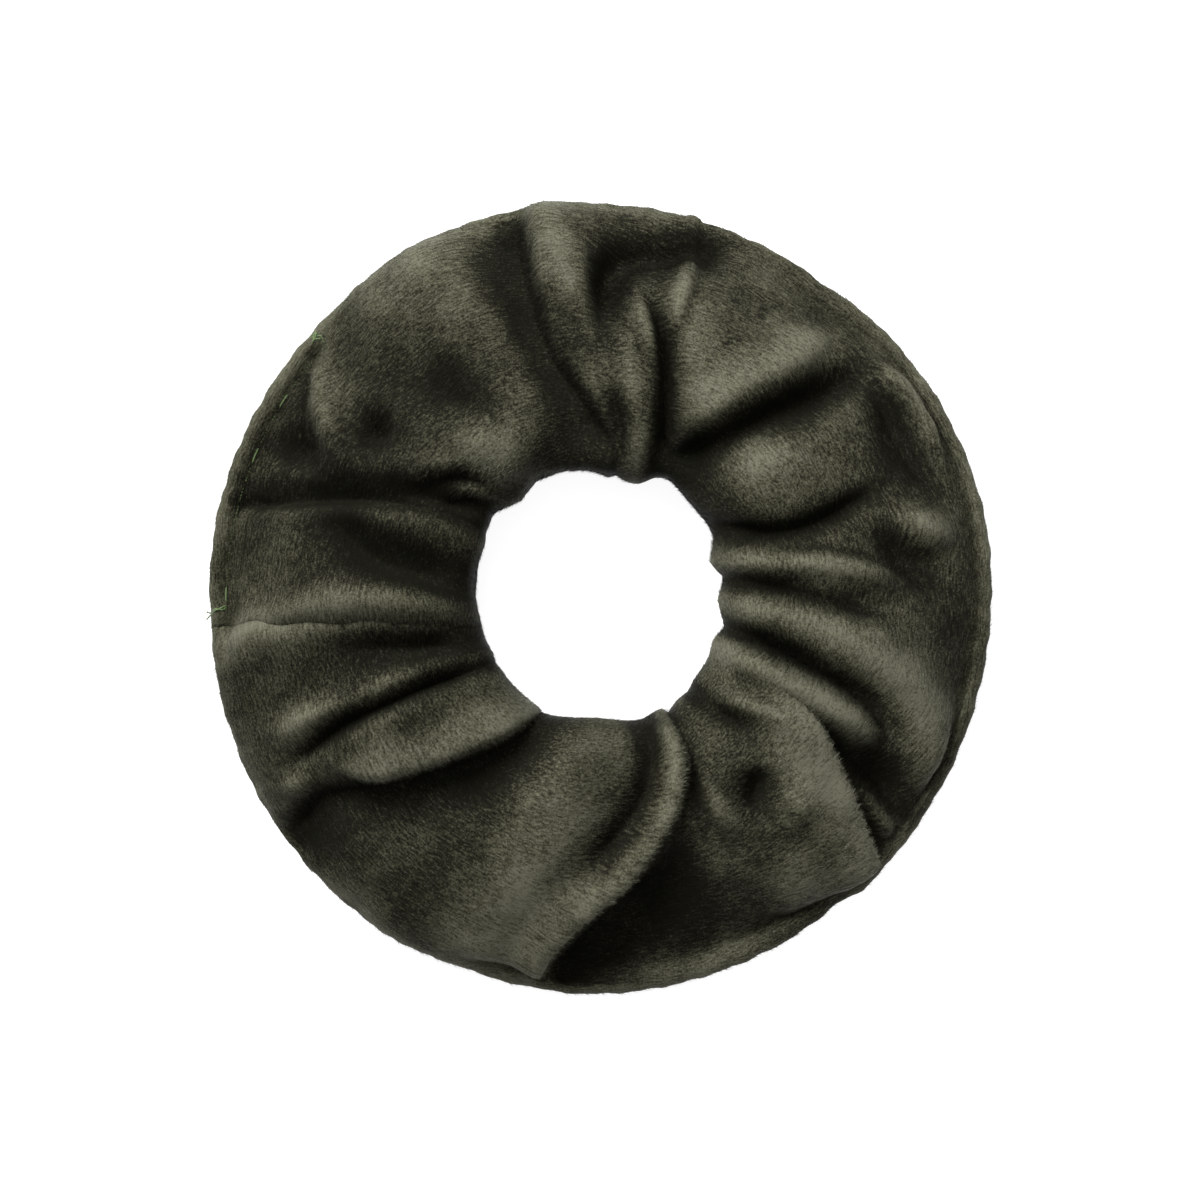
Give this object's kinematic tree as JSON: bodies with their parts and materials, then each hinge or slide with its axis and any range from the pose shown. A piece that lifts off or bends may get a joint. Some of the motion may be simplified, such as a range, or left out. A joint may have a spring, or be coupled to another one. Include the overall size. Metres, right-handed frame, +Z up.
{
  "type": "scrunchie",
  "caption": "Velvet scrunchie: a gathered ring of velvet over a loop of flat elastic, with a topstitched rim round the outside.",
  "frame": {"origin": "centre of the hole, on the plane that the scrunchie lies on", "axes": "+Z up along the hole's axis; the cross seam is at 184 degrees from +X about +Z"},
  "size_m": [0.1296, 0.1296, 0.0237],
  "materials": {
    "velvet": "short-pile velvet, dark olive",
    "elastic": "flat braided elastic, black",
    "seam_thread": "polyester thread, dark olive",
    "closing_thread": "polyester thread, green"
  },
  "bodies": {
    "cover": {"velvet_cover": "velvet", "long_seam_needle_thread": "seam_thread", "long_seam_bobbin_thread": "seam_thread", "cross_seam_needle_thread": "seam_thread", "cross_seam_bobbin_thread": "seam_thread", "closing_needle_thread": "closing_thread", "closing_bobbin_thread": "closing_thread"},
    "elastic": {"elastic_band": "elastic", "elastic_join_needle_thread": "seam_thread", "elastic_join_bobbin_thread": "seam_thread"}
  },
  "joints": [
    {"name": "elastic_slip", "type": "hinge", "parent": "cover", "child": "elastic", "pos_m": [0, 0, 0], "axis": [0, 0, 1], "continuous": true}
  ]
}
